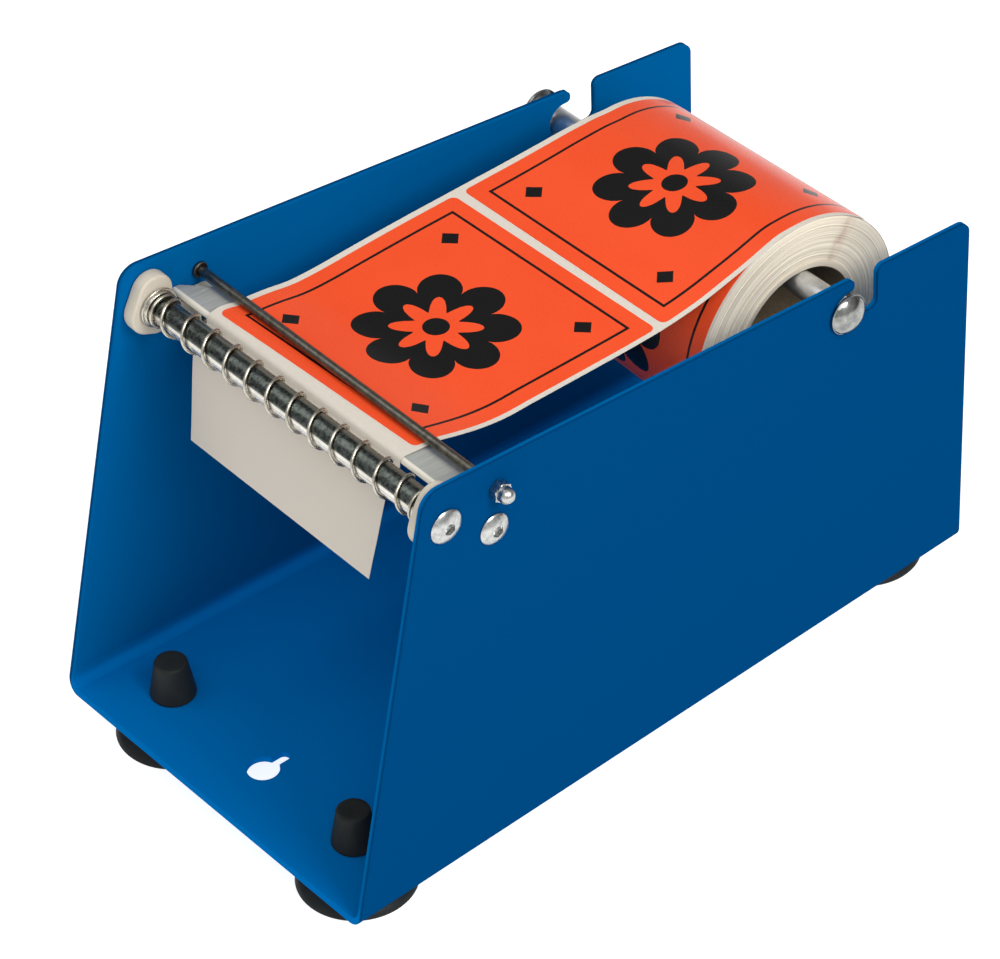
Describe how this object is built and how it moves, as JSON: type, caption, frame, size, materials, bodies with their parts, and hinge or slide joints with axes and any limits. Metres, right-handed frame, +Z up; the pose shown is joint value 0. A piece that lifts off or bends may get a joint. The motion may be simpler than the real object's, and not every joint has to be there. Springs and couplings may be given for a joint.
{
  "type": "label dispenser",
  "caption": "Bench label dispenser: folded blue sheet chassis on suction feet, label roll on a hooked spindle, peel plate, hold-down rod and a front bar with a loose spring.",
  "frame": {"origin": "centre of the bounding box's underside, on the bench surface under the suction cups", "axes": "+Z up, +Y from the front (peel edge) to the rear (roll), +X to the right seen from the front"},
  "size_m": [0.1829, 0.3048, 0.1916],
  "materials": {
    "blue_paint": "gloss",
    "cream_plastic": "satin",
    "plate_plastic": "gloss",
    "bar_steel": "polished",
    "spring_steel": "satin",
    "zinc_steel": "satin",
    "rod_steel": "satin",
    "tube_steel": "satin",
    "cardboard": "matte",
    "roll_paper": "gloss",
    "liner_paper": "satin",
    "label_paper": "gloss",
    "black_rubber": "matte"
  },
  "bodies": {
    "frame": {"chassis": "blue_paint", "peel_plate": "plate_plastic", "end_cheek_left": "cream_plastic", "end_cheek_right": "cream_plastic", "front_bar": "bar_steel", "bar_collars": "spring_steel", "bar_screws": "zinc_steel", "cheek_screws": "zinc_steel", "holddown_rod": "rod_steel", "rod_nuts": "zinc_steel", "rod_washers": "rod_steel", "web_front": "liner_paper", "label_front": "label_paper", "liner_tail": "liner_paper", "foot_front_left": "black_rubber", "foot_front_right": "black_rubber", "foot_rear_left": "black_rubber", "foot_rear_right": "black_rubber"},
    "spring": {"bar_spring": "spring_steel"},
    "spindle": {"spindle_tube": "tube_steel", "spindle_screws": "zinc_steel", "web_rear": "liner_paper", "label_rear": "label_paper"},
    "roll": {"roll_core": "cardboard", "label_roll": "roll_paper"}
  },
  "joints": [
    {"name": "spring_spin", "type": "hinge", "parent": "frame", "child": "spring", "pos_m": [0, -0.1042, 0.17535], "axis": [1, 0, 0], "continuous": true},
    {"name": "spindle_unhook", "type": "slide", "parent": "frame", "child": "spindle", "axis": [0, 1, 0], "range_m": [0, 0.011]},
    {"name": "roll_spin", "type": "hinge", "parent": "spindle", "child": "roll", "pos_m": [0.004, 0.08255, 0.13892], "axis": [1, 0, 0], "continuous": true}
  ]
}
